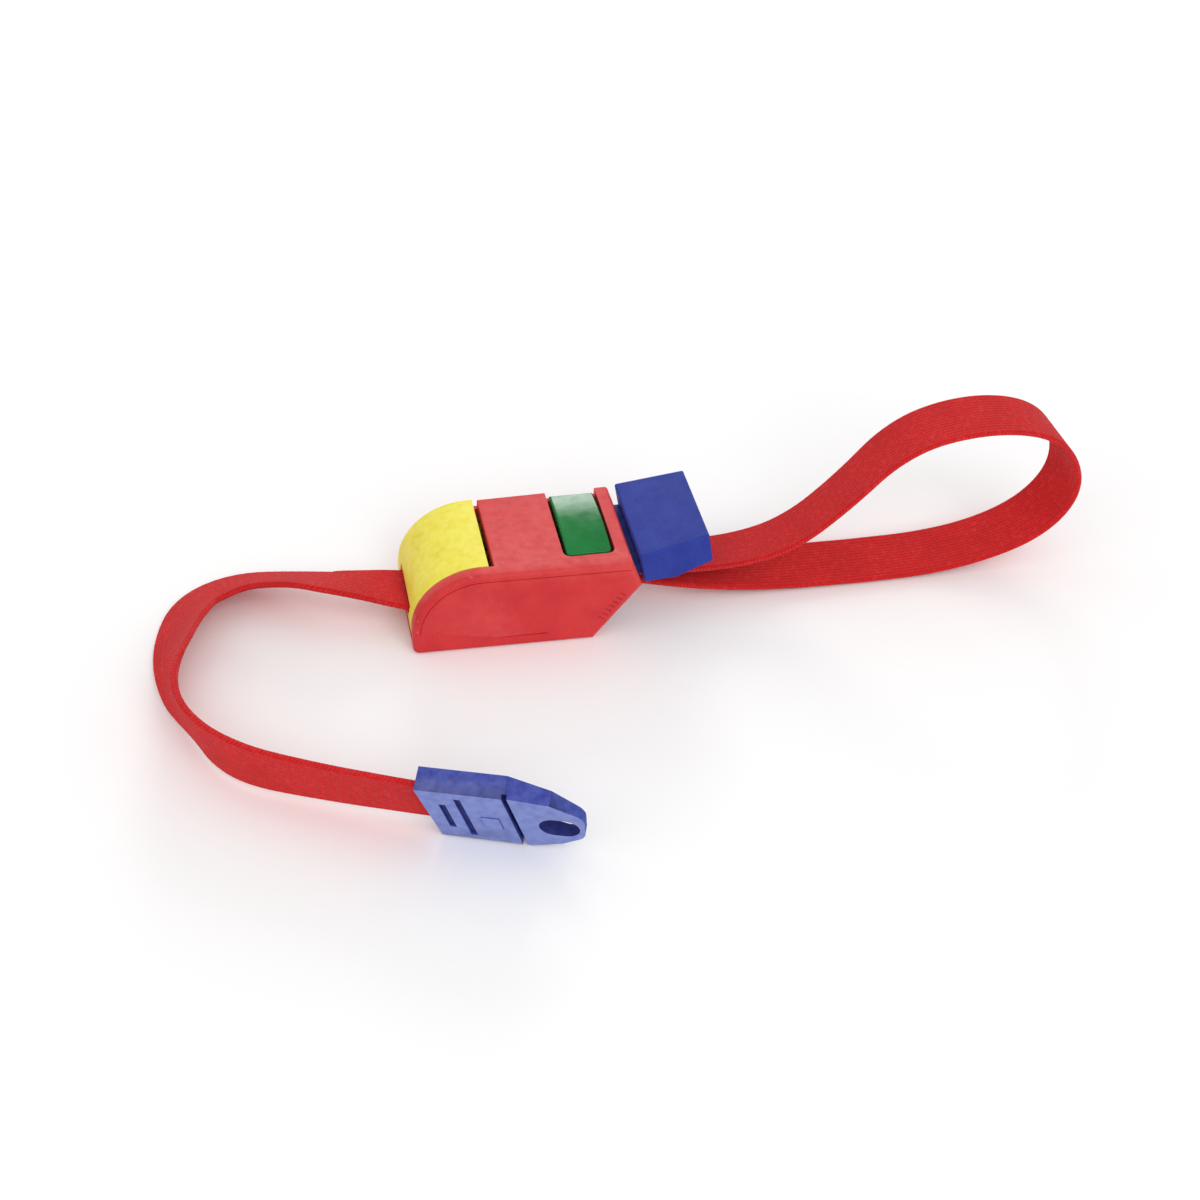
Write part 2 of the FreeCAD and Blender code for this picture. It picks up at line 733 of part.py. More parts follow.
def main():
    os.makedirs("parts", exist_ok=True)
    save("near_side_cover", near_cover())
    save("far_side_cover", far_cover())
    save("top_cover", top_cover())
    save("base_cover", base_cover())
    save("strap_deck", strap_deck())
    save("strap_rivets", strap_rivets())
    save("tie_screws", tie_screws())
    save("release_lever", release_lever())
    save("clamp_shoe", clamp_shoe())
    save("release_lever_pin", hinge_pin(lever_pin_x, lever_pin_z, pin_radius))
    spring = sleeve(lever_spring_x, strap_y, lever_spring, lever_spring_low, height - cover_thickness)
    save("release_lever_spring", spring)
    save("latch_button", latch_button())
    save("latch_yoke", latch_yoke())
    for name, y in zip(("latch_spring_near", "latch_spring_far"), latch_spring_rows):
        save(name, sleeve(latch_spring_x, y, latch_spring, deck_top, button_low))
    save("thumb_lever", thumb_lever())
    save("cam_insert", cam_outline())
    save("thumb_lever_pin", hinge_pin(thumb_pin_x, thumb_pin_z, pin_radius))
    save("thumb_lever_spring", thumb_lever_spring())
    save("nose_guide_bar", hinge_pin(bar_x, bar_z, bar_radius))
    save("strap_inner_run", strap_inner_run())
    save("strap_loop", band(loop_route, "strap_loop"))
    save("strap_tail", tube(tail_route, "strap_tail"))
    save("tongue_body", tongue_body())
    save("tongue_wedge", tongue_wedge())


main()
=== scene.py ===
import json
import math

import bpy
from mathutils import Matrix, Vector, noise


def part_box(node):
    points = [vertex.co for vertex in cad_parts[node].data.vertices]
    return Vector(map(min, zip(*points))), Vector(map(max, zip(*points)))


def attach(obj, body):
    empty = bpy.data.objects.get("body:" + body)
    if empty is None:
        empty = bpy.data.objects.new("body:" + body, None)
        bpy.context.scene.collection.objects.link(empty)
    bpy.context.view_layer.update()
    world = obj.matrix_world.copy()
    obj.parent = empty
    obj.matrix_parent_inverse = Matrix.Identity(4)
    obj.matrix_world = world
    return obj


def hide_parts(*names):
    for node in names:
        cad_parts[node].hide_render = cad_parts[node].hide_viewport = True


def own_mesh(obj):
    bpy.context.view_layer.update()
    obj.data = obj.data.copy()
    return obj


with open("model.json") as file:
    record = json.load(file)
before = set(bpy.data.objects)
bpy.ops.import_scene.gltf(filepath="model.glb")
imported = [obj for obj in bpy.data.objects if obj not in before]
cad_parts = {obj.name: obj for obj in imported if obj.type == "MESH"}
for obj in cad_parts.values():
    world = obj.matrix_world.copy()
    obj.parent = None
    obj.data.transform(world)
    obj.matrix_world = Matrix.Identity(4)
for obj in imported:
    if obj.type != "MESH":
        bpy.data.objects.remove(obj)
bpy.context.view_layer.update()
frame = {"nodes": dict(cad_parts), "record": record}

# Everything is in metres, in the frame of the CAD parts.  Distances written as "from the
# nose" are counted along X from the nose end of the housing.
NOSE_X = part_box("near_side_cover")[0][0]
STRAP_Y = 0.0015
STRAP_WIDTH = 0.0148
STRAP_THICKNESS = 0.0014

# The strap's routes, from the nose.  They follow the CAD part's, apart from the tail's first
# point, which lies deeper in the housing, and the pull loop's two runs beside the housing,
# which lie up to 1.1 mm further apart so that the wide strap stays clear of itself.
TAIL_ROUTE = [
    (0.0012, 0.0015, 0.0063), (-0.0137, 0.002, 0.0102), (-0.025, 0.0085, 0.0076),
    (-0.0374, 0.0129, 0.0045), (-0.0471, 0.0094, 0.0036), (-0.0515, -0.001, 0.0046),
    (-0.0533, -0.0137, 0.0064), (-0.0532, -0.0294, 0.0081), (-0.045, -0.0478, 0.0081),
    (-0.0246, -0.0584, 0.0082), (-0.0036, -0.0679, 0.0096)]
LOOP_ROUTE = [
    (0.051, STRAP_Y, 0.0092), (0.066, STRAP_Y, 0.0049), (0.086, STRAP_Y, 0.0021),
    (0.108, STRAP_Y, 0.0017), (0.130, STRAP_Y, 0.0019), (0.147, STRAP_Y, 0.0059),
    (0.158, STRAP_Y, 0.013), (0.1622, STRAP_Y, 0.024), (0.157, STRAP_Y, 0.0355),
    (0.147, STRAP_Y, 0.0416), (0.131, STRAP_Y, 0.0426), (0.116, STRAP_Y, 0.0376),
    (0.104, STRAP_Y, 0.0228), (0.0925, STRAP_Y, 0.0122), (0.079, STRAP_Y, 0.0085),
    (0.064, STRAP_Y, 0.0089), (0.051, STRAP_Y, 0.01095)]
INNER_ROUTE = [
    (-0.0003, STRAP_Y, 0.00635), (0.008, STRAP_Y, 0.0072), (0.0165, STRAP_Y, 0.0096),
    (0.033, STRAP_Y, 0.0096), (0.0415, STRAP_Y, 0.0115), (0.051, STRAP_Y, 0.01095)]
ANCHOR_ROUTE = [
    (0.0434, STRAP_Y, 0.00955), (0.047, STRAP_Y, 0.00955), (0.051, STRAP_Y, 0.0092)]

# How far the strap's outer edge dips, in degrees, against the share of the way along it.
TAIL_BANK = [(0.0, 0), (0.05, 12), (0.1, 21), (0.15, 28), (0.2, 29), (0.3, 25), (0.4, 36),
             (0.45, 47), (0.5, 59), (0.55, 82), (0.6, 103), (0.65, 104), (0.7, 99),
             (0.75, 102), (0.85, 106), (1.0, 110)]
LOOP_BANK = [(0.0, 0), (0.1, 1), (0.2, 5), (0.3, 5), (0.38, 2), (0.45, 8), (0.6, -4),
             (0.75, 6), (0.85, 9), (0.94, 10), (1.0, 0)]
FLAT = [(0.0, 0), (1.0, 0)]


# ---------------------------------------------------------------- camera and light
CAMERA_AZIMUTH = 14.3           # degrees from the Y axis
CAMERA_ELEVATION = 40.4         # degrees down
CAMERA_ROLL = -3.5
CAMERA_PLACE = (-0.0345, -0.3179, 0.2779)   # X from the nose
LENS = 54                       # millimetres, as the sensor
SENSOR = 36
WORLD_LIGHT = 0.72
LIGHTS = [("key", (0.25, -1.0, 0.9), 0.9, 6.0),     # place, size and power
          ("fill", (-0.8, -0.5, 0.6), 0.9, 1.5),
          ("back", (0.25, 1.1, 0.42), 0.45, 4.0)]
FLOOR_HALF = 3.0
FLOOR_WHITE = (0.97, 0.97, 0.97, 1)


def make_camera():
    azimuth = math.radians(CAMERA_AZIMUTH)
    elevation = math.radians(CAMERA_ELEVATION)
    roll = math.radians(CAMERA_ROLL)
    forward = Vector((math.sin(azimuth) * math.cos(elevation),
                      math.cos(azimuth) * math.cos(elevation), -math.sin(elevation)))
    level = Vector((math.cos(azimuth), -math.sin(azimuth), 0))
    right = level * math.cos(roll) + forward.cross(level) * math.sin(roll)
    up = right.cross(forward)
    data = bpy.data.cameras.new("camera")
    data.lens = LENS
    data.sensor_width = SENSOR
    data.clip_start = 0.01
    camera = bpy.data.objects.new("camera", data)
    bpy.context.collection.objects.link(camera)
    turn = Matrix((right, up, -forward)).transposed().to_4x4()
    x, y, z = CAMERA_PLACE
    camera.matrix_world = Matrix.Translation((NOSE_X + x, y, z)) @ turn
    bpy.context.scene.camera = camera


def area_light(name, place, size, power):
    """A square light that faces the object."""
    data = bpy.data.lights.new(name, "AREA")
    data.size = size
    data.energy = power
    light = bpy.data.objects.new(name, data)
    light.location = place
    light.rotation_euler = (-Vector(place)).to_track_quat("-Z", "Y").to_euler()
    bpy.context.collection.objects.link(light)


def make_studio():
    world = bpy.data.worlds.new("studio")
    world.use_nodes = True
    background = world.node_tree.nodes["Background"]
    background.inputs["Color"].default_value = (1, 1, 1, 1)
    background.inputs["Strength"].default_value = WORLD_LIGHT
    bpy.context.scene.world = world
    for name, place, size, power in LIGHTS:
        area_light(name, place, size, power)
    mesh = bpy.data.meshes.new("floor")
    corners = [(-1, -1), (1, -1), (1, 1), (-1, 1)]
    mesh.from_pydata([(FLOOR_HALF * x, FLOOR_HALF * y, 0) for x, y in corners], [], [(0, 1, 2, 3)])
    floor = bpy.data.objects.new("floor", mesh)
    bpy.context.collection.objects.link(floor)
    paper = Graph("floor_paper")
    paper.set("Base Color", FLOOR_WHITE)
    paper.set("Roughness", 0.9)
    mesh.materials.append(paper.material)


# ---------------------------------------------------------------- materials
# How fine each noise is: lumps to a metre, roughly.
WAVES = 220
CLOUDS = 160
STREAKS = 420
WEAR = 500
SPECKS = 2600
GRAIN = 5200
SCRATCHES = 1500
TARNISH = 900
STEEL_GRAIN = 3000
FUZZ = 2400
LINT = 900
FADING = 120

# Each plastic: its colour, its shade and its light flecks (0 to 255), roughness and gloss.
PLASTICS = {
    "housing_red": ("housing_plastic", (210, 58, 60), (198, 48, 52), (226, 104, 102), 0.5, 0.15),
    "lever_yellow": ("lever_plastic", (236, 222, 48), (226, 208, 34), (246, 238, 120), 0.5, 0.15),
    "button_green": ("button_plastic", (6, 122, 54), (2, 104, 42), (60, 165, 96), 0.2, 0.3),
    "lever_blue": ("thumb_plastic", (44, 60, 152), (34, 50, 138), (88, 102, 190), 0.5, 0.15),
    "tongue_edge": ("tongue_edge_plastic", (40, 52, 138), (30, 42, 124), (92, 104, 186), 0.45, 0.15),
    # The broad faces: a paler copy of the edge plastic, painted as the light and sheen they catch.
    "tongue_lit_face": ("tongue_lit_face_plastic", (104, 118, 182), (88, 102, 168), (140, 152, 208), 0.5, 0.15),
    # The window's wall and the sunk floors: dark navy, painted shade.
    "tongue_recess_shade": ("tongue_recess_shade_plastic", (26, 32, 92), (18, 24, 76), (50, 58, 130), 0.5, 0.1),
    "inner_dark": ("inner_plastic", (36, 34, 38), (26, 26, 30), (70, 70, 76), 0.5, 0.25)}


def srgb(red, green, blue):
    """Linear colour from 0-255 display values."""
    def linear(value):
        value = value / 255
        return value / 12.92 if value <= 0.04045 else ((value + 0.055) / 1.055) ** 2.4
    return (linear(red), linear(green), linear(blue), 1.0)


class Graph:
    """A material, and short ways to add nodes to it."""

    def __init__(self, name):
        self.material = bpy.data.materials.new(name)
        self.material.use_nodes = True
        self.tree = self.material.node_tree
        self.shader = self.tree.nodes["Principled BSDF"]

    def set(self, socket, value):
        self.shader.inputs[socket].default_value = value

    def join(self, source, socket):
        self.tree.links.new(source, socket)

    def feed(self, socket, value):
        if isinstance(value, bpy.types.NodeSocket):
            self.join(value, socket)
        else:
            socket.default_value = value

    def math(self, operation, first, second=0.0):
        node = self.tree.nodes.new("ShaderNodeMath")
        node.operation = operation
        self.feed(node.inputs[0], first)
        self.feed(node.inputs[1], second)
        return node.outputs[0]

    def place(self):
        return self.tree.nodes.new("ShaderNodeTexCoord").outputs["Object"]

    def noise(self, place, scale, detail=3.0):
        node = self.tree.nodes.new("ShaderNodeTexNoise")
        self.join(place, node.inputs["Vector"])
        node.inputs["Scale"].default_value = scale
        node.inputs["Detail"].default_value = detail
        return node.outputs["Fac"]

    def remap(self, value, low, high, to_low=0.0, to_high=1.0):
        node = self.tree.nodes.new("ShaderNodeMapRange")
        self.join(value, node.inputs["Value"])
        node.inputs["From Min"].default_value = low
        node.inputs["From Max"].default_value = high
        node.inputs["To Min"].default_value = to_low
        node.inputs["To Max"].default_value = to_high
        return node.outputs["Result"]

    def mix(self, share, first, second):
        node = self.tree.nodes.new("ShaderNodeMix")
        node.data_type = "RGBA"
        self.feed(node.inputs["Factor"], share)
        self.feed(node.inputs["A"], first)
        self.feed(node.inputs["B"], second)
        return node.outputs["Result"]

    def bump(self, height, strength, distance, below=None):
        node = self.tree.nodes.new("ShaderNodeBump")
        node.inputs["Strength"].default_value = strength
        node.inputs["Distance"].default_value = distance
        self.join(height, node.inputs["Height"])
        if below is not None:
            self.join(below, node.inputs["Normal"])
        return node.outputs["Normal"]


def plastic(name, colour, shade, light, roughness, gloss):
    """Moulded plastic: cloudy colour, fine spark grain, handling marks and paler edges."""
    g = Graph(name)
    place = g.place()
    cloud = g.remap(g.noise(place, CLOUDS, 4.0), 0.3, 0.7)
    base = g.mix(cloud, srgb(*shade), srgb(*colour))
    speck = g.remap(g.noise(place, SPECKS, 2.0), 0.6, 0.74, 0.0, 0.25)
    base = g.mix(speck, base, srgb(*light))
    edge = g.tree.nodes.new("ShaderNodeNewGeometry").outputs["Pointiness"]
    rubbed = g.remap(g.noise(place, WEAR), 0.3, 0.6, 0.2, 0.6)
    worn = g.math("MULTIPLY", g.remap(edge, 0.52, 0.62), rubbed)
    base = g.mix(worn, base, srgb(*light))
    g.join(base, g.shader.inputs["Base Color"])
    streak = g.remap(g.noise(place, STREAKS, 5.0), 0.35, 0.7, roughness - 0.06, roughness + 0.1)
    g.join(streak, g.shader.inputs["Roughness"])
    g.set("Specular IOR Level", gloss)
    rough = g.bump(g.noise(place, GRAIN, 2.0), 0.12, 0.00006)
    g.join(g.bump(g.noise(place, WAVES, 2.0), 0.08, 0.0004, rough), g.shader.inputs["Normal"])
    return g.material


def steel(name, colour, roughness):
    """Plated metal, duller in patches, with fine scratches."""
    g = Graph(name)
    place = g.place()
    patch = g.remap(g.noise(place, TARNISH), 0.35, 0.7)
    g.join(g.mix(patch, colour, srgb(205, 206, 210)), g.shader.inputs["Base Color"])
    g.set("Metallic", 1.0)
    scratch = g.remap(g.noise(place, SCRATCHES), 0.3, 0.7, roughness - 0.08, roughness + 0.1)
    g.join(scratch, g.shader.inputs["Roughness"])
    g.join(g.bump(g.noise(place, STEEL_GRAIN), 0.1, 0.00005), g.shader.inputs["Normal"])
    return g.material


RIB = 0.00095       # one lengthwise cord of the elastic
PICK = 0.0009       # one cross thread
THREAD_SLANT = 1.3  # how far a cross thread runs along the strap for its way across


def webbing(name):
    """Woven elastic: lengthwise cords, slanting cross threads that turn at each cord, lint, and painted
    shade where the weave lies low.
    """
    g = Graph(name)
    place = g.place()
    uv = g.tree.nodes.new("ShaderNodeUVMap")
    uv.uv_map = "weave"
    parts = g.tree.nodes.new("ShaderNodeSeparateXYZ")
    g.join(uv.outputs["UV"], parts.inputs[0])
    along = parts.outputs["X"]
    across = parts.outputs["Y"]
    cord = g.math("COSINE", g.math("MULTIPLY", across, 2 * math.pi / RIB))
    side = g.math("SIGN", g.math("SINE", g.math("MULTIPLY", across, math.pi / RIB)))
    slant = g.math("MULTIPLY", g.math("MULTIPLY", across, THREAD_SLANT), side)
    pick = g.math("SINE", g.math("MULTIPLY", g.math("ADD", along, slant), 2 * math.pi / PICK))
    weave = g.math("ADD", g.math("MULTIPLY", cord, 0.45), g.math("MULTIPLY", pick, 0.55))
    fuzz = g.noise(place, FUZZ, 4.0)
    height = g.math("ADD", weave, g.math("MULTIPLY", fuzz, 1.2))
    deep = srgb(174, 24, 28)
    body = srgb(212, 38, 40)
    lint = srgb(226, 72, 68)
    # Darker where the weave and its fuzz lie low: painted shade in the weave's grooves, and random tone
    # from the fuzz.
    base = g.mix(g.remap(height, -0.5, 1.1), deep, body)
    base = g.mix(g.remap(g.noise(place, LINT, 5.0), 0.5, 0.74, 0.0, 0.4), base, lint)
    base = g.mix(g.remap(g.noise(place, FADING, 3.0), 0.4, 0.75, 0.0, 0.35), base, deep)
    g.join(base, g.shader.inputs["Base Color"])
    g.set("Roughness", 0.85)
    g.set("Specular IOR Level", 0.1)
    g.set("Sheen Weight", 0.06)
    g.set("Sheen Roughness", 0.5)
    g.join(g.bump(height, 0.5, 0.00012), g.shader.inputs["Normal"])
    return g.material


# ---------------------------------------------------------------- mesh helpers
def add_object(name, vertices, faces, material):
    mesh = bpy.data.meshes.new(name)
    mesh.from_pydata(vertices, [], faces)
    mesh.update()
    mesh.materials.append(material)
    piece = bpy.data.objects.new(name, mesh)
    bpy.context.collection.objects.link(piece)
    return piece


def smooth(piece, degrees=35):
    piece.data.shade_smooth()
    piece.data.set_sharp_from_angle(angle=math.radians(degrees))


def apply_modifiers(piece):
    graph = bpy.context.evaluated_depsgraph_get()
    made = bpy.data.meshes.new_from_object(piece.evaluated_get(graph))
    piece.modifiers.clear()
    piece.data = made


def combine(piece, other, operation):
    modifier = piece.modifiers.new(operation, "BOOLEAN")
    modifier.operation = operation
    modifier.solver = "EXACT"
    modifier.object = other
    apply_modifiers(piece)
    bpy.data.objects.remove(other)


def prism(name, outline, low, high, material):
    """A straight solid on an outline of (x, y) points."""
    count = len(outline)
    vertices = [(x, y, low) for x, y in outline] + [(x, y, high) for x, y in outline]
    faces = [list(range(count))[::-1], list(range(count, 2 * count))]
    for index in range(count):
        after = (index + 1) % count
        faces.append((index, after, count + after, count + index))
    return add_object(name, vertices, faces, material)


def wire(name, line, radius, sides, material):
    """A round wire along a list of points."""
    vertices = []
    faces = []
    for index, point in enumerate(line):
        before = line[max(index - 1, 0)]
        after = line[min(index + 1, len(line) - 1)]
        forward = (after - before).normalized()
        out = forward.cross(Vector((0.3, 0.2, 0.93))).normalized()
        side = forward.cross(out)
        for step in range(sides):
            angle = 2 * math.pi * step / sides
            vertices.append(point + (out * math.cos(angle) + side * math.sin(angle)) * radius)
    for index in range(len(line) - 1):
        for step in range(sides):
            nearby = (step + 1) % sides
            start = index * sides
            faces.append((start + step, start + nearby, start + sides + nearby, start + sides + step))
    faces.append(list(range(sides))[::-1])
    faces.append([len(vertices) - sides + step for step in range(sides)])
    piece = add_object(name, vertices, faces, material)
    smooth(piece, 60)
    return piece


# ---------------------------------------------------------------- strap
def smooth_line(route):
    """Points on the smooth curve that a route's points control."""
    data = bpy.data.curves.new("route", "CURVE")
    data.dimensions = "3D"
    data.resolution_u = 48
    spline = data.splines.new("NURBS")
    spline.points.add(len(route) - 1)
    for point, place in zip(spline.points, route):
        point.co = (place[0] + NOSE_X, place[1], place[2], 1)
    spline.order_u = 3
    spline.use_endpoint_u = True
    holder = bpy.data.objects.new("route", data)
    bpy.context.collection.objects.link(holder)
    mesh = bpy.data.meshes.new_from_object(holder)
    line = [vertex.co.copy() for vertex in mesh.vertices]
    bpy.data.objects.remove(holder)
    bpy.data.meshes.remove(mesh)
    return line


def even_line(line, step):
    """The same line with points one step apart, and its length."""
    lengths = [0.0]
    for first, second in zip(line, line[1:]):
        lengths.append(lengths[-1] + (second - first).length)
    count = max(2, round(lengths[-1] / step))
    made = []
    at = 0
    for index in range(count + 1):
        want = lengths[-1] * index / count
        while at < len(line) - 2 and lengths[at + 1] < want:
            at += 1
        span = lengths[at + 1] - lengths[at]
        made.append(line[at].lerp(line[at + 1], min(1.0, (want - lengths[at]) / span)))
    return made, lengths[-1]


BANK_OFFSETS = (-0.04, -0.02, 0.0, 0.02, 0.04)


def bank_at(banks, share):
    """The bank at one place, averaged over a short way to each side so that it turns smoothly."""
    total = 0.0
    for offset in BANK_OFFSETS:
        place = min(1.0, max(0.0, share + offset))
        for (low, first), (high, second) in zip(banks, banks[1:]):
            if low <= place <= high:
                total += first + (second - first) * (place - low) / (high - low)
                break
    return math.radians(total / len(BANK_OFFSETS))


ACROSS = 46         # steps across the strap's face
EDGE_ROUND = 0.0006
EDGE_FALL = 0.97    # share of the thickness, squared, that is gone at the very edge
RIB_HEIGHT = 0.00004
THREAD_SHARE = 0.6  # how much the cross threads vary the ribs' height
WANDER = 0.00012    # how far the strap strays sideways
WANDER_RATE = 90    # strays to a metre, roughly
RIBBON_STEP = 0.00055


def strap_section(along):
    """The strap's outline at one place: (across, out) pairs once round."""
    half = STRAP_WIDTH / 2
    pairs = []
    for face in (1, -1):
        for step in range(ACROSS + 1):
            share = step / ACROSS
            across = face * (half - 2 * half * share)
            rim = max(0.0, abs(across) - (half - EDGE_ROUND)) / EDGE_ROUND
            thick = STRAP_THICKNESS / 2 * math.sqrt(max(0.0, 1 - rim * rim * EDGE_FALL))
            beat = 1 + THREAD_SHARE * math.sin(2 * math.pi * along / (2 * PICK))
            rib = math.cos(2 * math.pi * across / RIB) * beat
            pairs.append((across, face * (thick + RIB_HEIGHT * rib * (1 - rim))))
    return pairs


def ribbon(name, route, material, banks, curls_up):
    """A flat woven strap along a route.  Returns the piece, its line and its length.

    A strap that curls up keeps its width along Y; any other keeps it level before it banks."""
    line, length = even_line(smooth_line(route), RIBBON_STEP)
    vertices = []
    shares = []
    for index, point in enumerate(line):
        before = line[max(index - 1, 0)]
        after = line[min(index + 1, len(line) - 1)]
        forward = (after - before).normalized()
        along = length * index / (len(line) - 1)
        level = Vector((0, 1, 0)) if curls_up else forward.cross(Vector((0, 0, 1))).normalized()
        bank = bank_at(banks, index / (len(line) - 1))
        wide = level * math.cos(bank) - level.cross(forward) * math.sin(bank)
        out = wide.cross(forward).normalized()
        wander = WANDER * noise.noise(Vector((along * WANDER_RATE, 3.1, 0)))
        for across, thick in strap_section(along):
            vertices.append(point + wide * (across + wander) + out * thick)
            shares.append((along, across))
    ring = 2 * (ACROSS + 1)
    faces = []
    for index in range(len(line) - 1):
        for turn in range(ring):
            nearby = (turn + 1) % ring
            start = index * ring
            faces.append((start + turn, start + ring + turn, start + ring + nearby, start + nearby))
    faces.append(list(range(ring)))
    faces.append([len(vertices) - 1 - turn for turn in range(ring)])
    piece = add_object(name, vertices, faces, material)
    layer = piece.data.uv_layers.new(name="weave")
    for loop in piece.data.loops:
        layer.data[loop.index].uv = shares[loop.vertex_index]
    smooth(piece, 75)
    return piece, line, length


def make_strap(material):
    tail, line, length = ribbon("tail_ribbon", TAIL_ROUTE, material, TAIL_BANK, False)
    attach(tail, "housing")
    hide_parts("strap_tail")
    tongue = make_tongue()
    loop, line, length = ribbon("loop_ribbon", LOOP_ROUTE, material, LOOP_BANK, True)
    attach(loop, "housing")
    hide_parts("strap_loop")
    for name, route in (("inner_ribbon", INNER_ROUTE), ("anchored_ribbon", ANCHOR_ROUTE)):
        inner, line, length = ribbon(name, route, material, FLAT, True)
        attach(inner, "housing")
        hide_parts("strap_inner_run")


# ---------------------------------------------------------------- tongue
TONGUE_LENGTH = 0.0319
TONGUE_HALF = 0.009
TONGUE_THICK = 0.0027           # half the grip's thickness
TONGUE_SHOULDER = 0.0176
TONGUE_RAKE = 0.23
TONGUE_LEAN = 0.18
NOSE_FACE = 0.0025
NOSE_FALL = 0.1875
NOSE_FALL_FROM = 0.0159
WINDOW_PLACE = (0.0267, 0.0009)
WINDOW_RADIUS = 0.0032
WINDOW_HALF_RUN = 0.001         # half the straight part between the window's two round ends
TIP_RADIUS = 0.0034
GROOVE_HALF = 0.0005
GROOVE_DEPTH = 0.0012
RIB_DEPTH = 0.00045
PAD_HEIGHT = 0.00025
SOCKET_HALF = 0.0008
TONGUE_BEVEL = 0.0003
CUT = 0.01                      # further than any cutter has to reach
FACE_RIBS = [(0.0032, 0.0046, -0.004, 0.005), (0.0069, 0.0083, -0.0068, 0.0076)]
FACE_PAD = (0.011, 0.0146, -0.0008, 0.0034)
TONGUE_TURN = (-20.0, 2.0, 105.5)           # yaw, pitch and roll in degrees
TONGUE_PLACE = (-0.0036, -0.0684, 0.00975)  # X from the nose


def tongue_place():
    """Where the tongue lies, with its length along its own X."""
    yaw, pitch, roll = (math.radians(angle) for angle in TONGUE_TURN)
    along = Vector((math.cos(pitch) * math.cos(yaw), math.cos(pitch) * math.sin(yaw), math.sin(pitch)))
    side = along.cross(Vector((0, 0, 1))).normalized()
    up = side.cross(along)
    wide = side * math.cos(roll) - up * math.sin(roll)
    turn = Matrix((along, wide, along.cross(wide))).transposed().to_4x4()
    x, y, z = TONGUE_PLACE
    return Matrix.Translation((NOSE_X + x, y, z)) @ turn


def raked(x, y):
    """A place on the tongue, slanted as its strap end is."""
    return (x + TONGUE_RAKE * y, y)


def leaned(x, y):
    """A place on the tongue, slanted as its shoulder is."""
    return (x + TONGUE_LEAN * y, y)


def arc(centre, radius, start, end, steps):
    """Points on an arc, angles in degrees."""
    angles = [math.radians(start + (end - start) * step / steps) for step in range(steps + 1)]
    return [(centre[0] + radius * math.cos(a), centre[1] + radius * math.sin(a)) for a in angles]


def window_outline():
    x, y = WINDOW_PLACE
    tip_end = arc((x + WINDOW_HALF_RUN, y), WINDOW_RADIUS, -90, 90, 16)
    return tip_end + arc((x - WINDOW_HALF_RUN, y), WINDOW_RADIUS, 90, 270, 16)


def nose_outline():
    """The tapering nose with a round tip."""
    radius = TIP_RADIUS
    tip_x = TONGUE_LENGTH - radius
    low = (tip_x, -0.0039 + radius * math.tan(math.radians(30)))
    high = (tip_x, 0.004 - radius * math.tan(math.radians(27)))
    points = [leaned(TONGUE_SHOULDER - 0.0005, -TONGUE_HALF), (0.025, -0.0079)]
    points += arc(low, radius, -60, 0, 7)
    points += arc(high, radius, 0, 54, 7)
    points += [(0.027, 0.0076), leaned(TONGUE_SHOULDER + 0.001, TONGUE_HALF + 0.0009),
               leaned(TONGUE_SHOULDER - 0.0005, TONGUE_HALF + 0.0009)]
    return points


def bar(name, x0, x1, y0, y1, low, high, material):
    """A leaning bar across the tongue."""
    corners = [leaned(x0, y0), leaned(x1, y0), leaned(x1, y1), leaned(x0, y1)]
    return prism(name, corners, low, high, material)


def falling_block(material):
    """What lies above the nose's inner face, which falls towards the tip."""
    start = TONGUE_THICK + 0.00002
    length = 0.02
    fall = length * NOSE_FALL
    low, high = NOSE_FALL_FROM, NOSE_FALL_FROM + length
    corners = [(low, start), (high, start - fall), (high, 0.009), (low, 0.009)]
    block = prism("above", corners, -0.02, 0.02, material)
    block.data.transform(Matrix.Rotation(math.pi / 2, 4, "X"))
    return block


def make_tongue():
    edge = LOOKS["tongue_edge"]
    half = TONGUE_HALF
    thick = TONGUE_THICK
    shoulder = TONGUE_SHOULDER
    grip = [raked(0, -half), leaned(shoulder, -half), leaned(shoulder, half + 0.0004), raked(0, half)]
    body = prism("tongue", grip, -thick, thick, edge)
    nose = prism("nose", nose_outline(), -NOSE_FACE, thick, edge)
    combine(nose, falling_block(edge), "DIFFERENCE")
    combine(body, nose, "UNION")
    x0, x1, y0, y1 = FACE_PAD
    combine(body, bar("pad", x0, x1, y0, y1, -thick - PAD_HEIGHT, 0, edge), "UNION")
    combine(body, prism("window", window_outline(), -CUT, CUT, edge), "DIFFERENCE")
    groove = bar("groove", shoulder - GROOVE_HALF, shoulder + GROOVE_HALF, -half - 0.001, half + 0.002,
                 -CUT, -thick + GROOVE_DEPTH, edge)
    combine(body, groove, "DIFFERENCE")
    notch = [leaned(shoulder - GROOVE_HALF, half - 0.0008), leaned(shoulder + 0.0012, half + 0.0015),
             leaned(shoulder - GROOVE_HALF, half + 0.0015)]
    combine(body, prism("notch", notch, -CUT, CUT, edge), "DIFFERENCE")
    for x0, x1, y0, y1 in FACE_RIBS:
        combine(body, bar("rib", x0, x1, y0, y1, -CUT, -thick + RIB_DEPTH, edge), "DIFFERENCE")
    reach = STRAP_WIDTH / 2 + 0.0001
    socket = [(-0.006, -reach), (0.004, -reach), (0.004, reach), (-0.006, reach)]
    combine(body, prism("socket", socket, -SOCKET_HALF, SOCKET_HALF, edge), "DIFFERENCE")
    bevel = body.modifiers.new("bevel", "BEVEL")
    bevel.width = TONGUE_BEVEL
    bevel.segments = 2
    bevel.limit_method = "ANGLE"
    bevel.angle_limit = math.radians(40)
    apply_modifiers(body)
    paint_tongue(body)
    smooth(body, 20)
    body.data.transform(tongue_place())
    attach(body, "housing")
    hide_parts("tongue_body")
    return body


